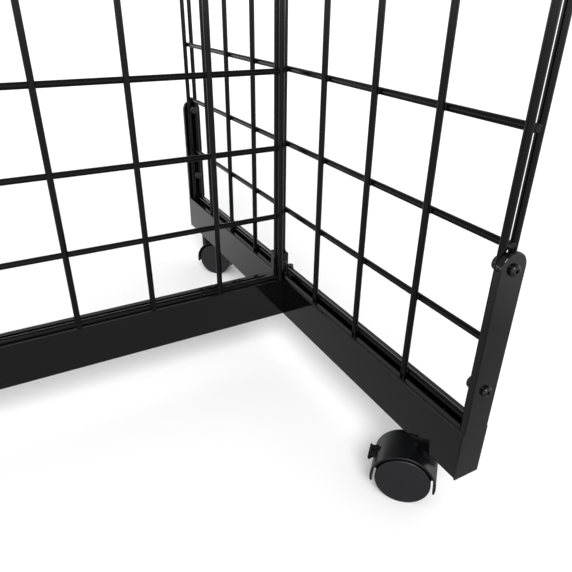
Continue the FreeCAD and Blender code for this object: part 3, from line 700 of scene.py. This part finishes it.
def wheel_model(sign):
    """Wheel on one side of the web; each ring of its face is (inset, rise)."""
    level = sign * (HALF_WIDTH - 0.5)
    back = sign * WHEEL_INNER_FACE
    obj = rod("wheel_model", WHEEL_RADIUS, *sorted((back, level)), "y", HUB, sides=96)
    for face_y, width, segments in ((level, 0.9, 4), (back, 0.6, 2)):
        bevel(obj, lambda a, b: max(abs(a.y - face_y), abs(b.y - face_y)) < NEAR, width, segments)
    pick(obj, "faces", lambda centre, normal: normal.y * sign > 0.99 and abs(centre.y - level) < NEAR)
    for inset, rise in FACE_RINGS:
        bpy.ops.mesh.inset(thickness=inset * MM, depth=0)
        bpy.ops.transform.translate(value=(0, sign * rise * MM, 0))
    bpy.ops.object.mode_set(mode="OBJECT")
    return obj


wheels = {"outer": wheel_model(1), "inner": wheel_model(-1)}
print("wheel", 2 * WHEEL_RADIUS, "mm across")

# %% [markdown]
# The brake lever hooks under the hood. Its pedal is as wide as a thumb, with a scallop on both
# sides that leaves a swallow-tail, and it slopes down while the brake is on.

# %% Brake lever
PEDAL_LENGTH = 18.9
PEDAL_HALF = 9.0
NECK_HALF = 2.6
LEVER_HALF = 1.5
knuckle = rod("knuckle", 3.4, -NECK_HALF, NECK_HALF, "y", (0, 0), sides=40)
neck = cube("neck", (-17.0, -NECK_HALF, -LEVER_HALF), (0, NECK_HALF, LEVER_HALF))
pedal = cube("pedal", (-PEDAL_LENGTH, -PEDAL_HALF, -LEVER_HALF), (-11.6, PEDAL_HALF, LEVER_HALF))
for edge in (-1, 1):
    carve(pedal, rod("scallop", 3.6, -5, 5, "z", (-14.3, edge * 10.4), sides=48))
for part in (knuckle, neck, pedal):
    soften(part, 0.5, 3, 60)
lever = join("lever_flat", [knuckle, neck, pedal])
pivot_place = Matrix.Translation((PIVOT[0] * MM, 0, PIVOT[1] * MM))
tilt = Matrix.Rotation(radians(-LEVER_TILT), 4, "Y")
lever_model = copied(lever, "lever_model", pivot_place @ tilt)
discard(lever)
print("lever", len(lever_model.data.polygons), "faces")

# %% [markdown]
# The stem is turned and plated steel: a pin that the housing swivels on, a collar that bears on
# the rail's floor, and a thread that goes up into the rail.

# %% Stem
STEM_AXIS = (0, 0)
collar = rod("collar", 8.0, CASTER_HEIGHT - 1.9, CASTER_HEIGHT, "z", STEM_AXIS, sides=64)
bevel(collar, lambda a, b: abs(a.z - b.z) < NEAR, 0.4, 3)
pin = rod("pin", 3.5, CASTER_HEIGHT - 17.0, CASTER_HEIGHT - 1.0, "z", STEM_AXIS, sides=40)
thread = rod("thread", 4.0, CASTER_HEIGHT - 0.5, CASTER_HEIGHT + 12.0, "z", STEM_AXIS, sides=40)
for part in (pin, thread):
    bevel(part, lambda a, b: abs(a.z - b.z) < NEAR, 0.6, 2)
stem = join("stem_model", [collar, pin, thread])
print("stem", len(stem.data.polygons), "faces")

# %% [markdown]
# Each caster has come to rest at its own swivel angle, as casters do when a stand is rolled into
# place. The hood, the wheels and the lever ride on their own bodies, and the stem stays with the
# stand.

# %% Four casters
REACH = 268.2
SWIVEL = {"front_right": -45.7, "back_right": 134.3, "front_left": -134.3, "back_left": 45.7}
for tag, angle in SWIVEL.items():
    corner, side = tag.split("_")
    spot = (SIDES[side] * END_X * MM, CORNERS[corner] * REACH * MM, 0)
    place = Matrix.Translation(spot) @ Matrix.Rotation(radians(angle), 4, "Z")
    hood_piece = copied(housing, f"hood_{tag}", place)
    deliver(hood_piece, "caster_housing", f"caster_{tag}", f"caster_housing_{tag}")
    for face, wheel in wheels.items():
        wheel_piece = copied(wheel, f"wheel_piece_{face}_{tag}", place)
        deliver(wheel_piece, "caster_wheel", f"wheel_{face}_{tag}", f"caster_wheel_{face}_{tag}")
    pedal_piece = copied(lever_model, f"pedal_{tag}", place)
    deliver(pedal_piece, "brake_lever", f"lever_{tag}", f"brake_lever_{tag}")
    stem_piece = copied(stem, f"stem_piece_{tag}", place)
    deliver(stem_piece, "caster_stem", "stand", f"caster_stem_{tag}")
discard(housing, *wheels.values(), lever_model, stem)

# %% [markdown]
# ## Studio
# A plain white floor under soft light from all round. The floor is matt, and reflections pass it
# by, so that the black steel shows only the graded surroundings of the next step.

# %% Floor
floor = start(bpy.ops.mesh.primitive_plane_add, "studio_floor", size=60)
floor_paint = bpy.data.materials.new("studio_white")
floor_paint.use_nodes = True
floor_shader = floor_paint.node_tree.nodes["Principled BSDF"]
floor_shader.inputs["Base Color"].default_value = (0.93, 0.93, 0.93, 1)
floor_shader.inputs["Roughness"].default_value = 0.8
floor_shader.inputs["Specular IOR Level"].default_value = 0.0
floor.data.materials.append(floor_paint)
floor.visible_glossy = False
print("floor", tuple(floor.dimensions))

# %% [markdown]
# Glossy black steel shows what is around it, so the surroundings are graded for reflections only:
# dim straight below, brighter towards the floor's horizon, a bright band just above it, and grey
# overhead. What the camera sees directly is white, and diffuse light comes evenly from all round.

# %% World
CAMERA_WHITE = 1.15
DIFFUSE_GREY = 0.80
GLOSSY_SKY = ((0.0, 0.30), (0.20, 0.32), (0.25, 0.34), (0.31, 0.68), (0.48, 0.80),
              (0.51, 2.6), (0.55, 2.6), (0.58, 0.50), (0.8, 0.45), (1.0, 0.30))
world = bpy.data.worlds.new("studio")
bpy.context.scene.world = world
world.use_nodes = True
nodes = world.node_tree.nodes
links = world.node_tree.links
background = nodes["Background"]
background.inputs["Strength"].default_value = 1.0
direction = nodes.new("ShaderNodeTexCoord")
split = nodes.new("ShaderNodeSeparateXYZ")
links.new(direction.outputs["Generated"], split.inputs["Vector"])
rise = nodes.new("ShaderNodeMapRange")
rise.inputs["From Min"].default_value = -1.0
links.new(split.outputs["Z"], rise.inputs["Value"])
ramp = nodes.new("ShaderNodeValToRGB")
while len(ramp.color_ramp.elements) < len(GLOSSY_SKY):
    ramp.color_ramp.elements.new(0.5)
for element, (position, grey) in zip(ramp.color_ramp.elements, GLOSSY_SKY):
    element.position = position
    element.color = (grey, grey, grey, 1)
links.new(rise.outputs["Result"], ramp.inputs["Fac"])
path = nodes.new("ShaderNodeLightPath")
mix = nodes.new("ShaderNodeMix")
mix.data_type = "RGBA"
mix.inputs["A"].default_value = (DIFFUSE_GREY, DIFFUSE_GREY, DIFFUSE_GREY, 1)
links.new(path.outputs["Is Glossy Ray"], mix.inputs["Factor"])
links.new(ramp.outputs["Color"], mix.inputs["B"])
seen = nodes.new("ShaderNodeMix")
seen.data_type = "RGBA"
seen.inputs["B"].default_value = (CAMERA_WHITE, CAMERA_WHITE, CAMERA_WHITE, 1)
links.new(path.outputs["Is Camera Ray"], seen.inputs["Factor"])
links.new(mix.outputs["Result"], seen.inputs["A"])
links.new(seen.outputs["Result"], background.inputs["Color"])
print("world graded in", len(GLOSSY_SKY), "steps")

# %% [markdown]
# The key stands for a large soft box far behind the camera: its light falls back and to the right,
# so each rail's shadow lies just beyond it, and it adds the soft line along the wires.

# %% Key light
lamp = bpy.data.lights.new("key_light", "SUN")
lamp.angle = radians(26)
lamp.energy = 2.5
lamp_object = bpy.data.objects.new("key_light", lamp)
bpy.context.scene.collection.objects.link(lamp_object)
FALL = Vector((0.36, 0.78, -0.72))
lamp_object.rotation_euler = FALL.to_track_quat("-Z", "Y").to_euler()
print("key light falls along", tuple(FALL))

# %% [markdown]
# The camera stands close to the stand's right junction, at knee height, and looks down into the
# corner between the centre panel and the right end panel.

# %% Camera
EYE = (0.3379018, -0.5237967, 0.4137139)
LOOK = (61.688834, -0.742649, -28.679271)
camera_data = bpy.data.cameras.new("camera")
camera = bpy.data.objects.new("camera", camera_data)
bpy.context.scene.collection.objects.link(camera)
camera.location = EYE
camera.rotation_euler = [radians(angle) for angle in LOOK]
camera_data.sensor_width = 36
camera_data.lens = 34.456145
camera_data.shift_x = -0.0021678
camera_data.shift_y = 0.0006469
camera_data.clip_start = 0.01
camera_data.clip_end = 200
bpy.context.scene.camera = camera
bpy.context.scene.view_settings.view_transform = "Standard"
print("camera at", EYE)
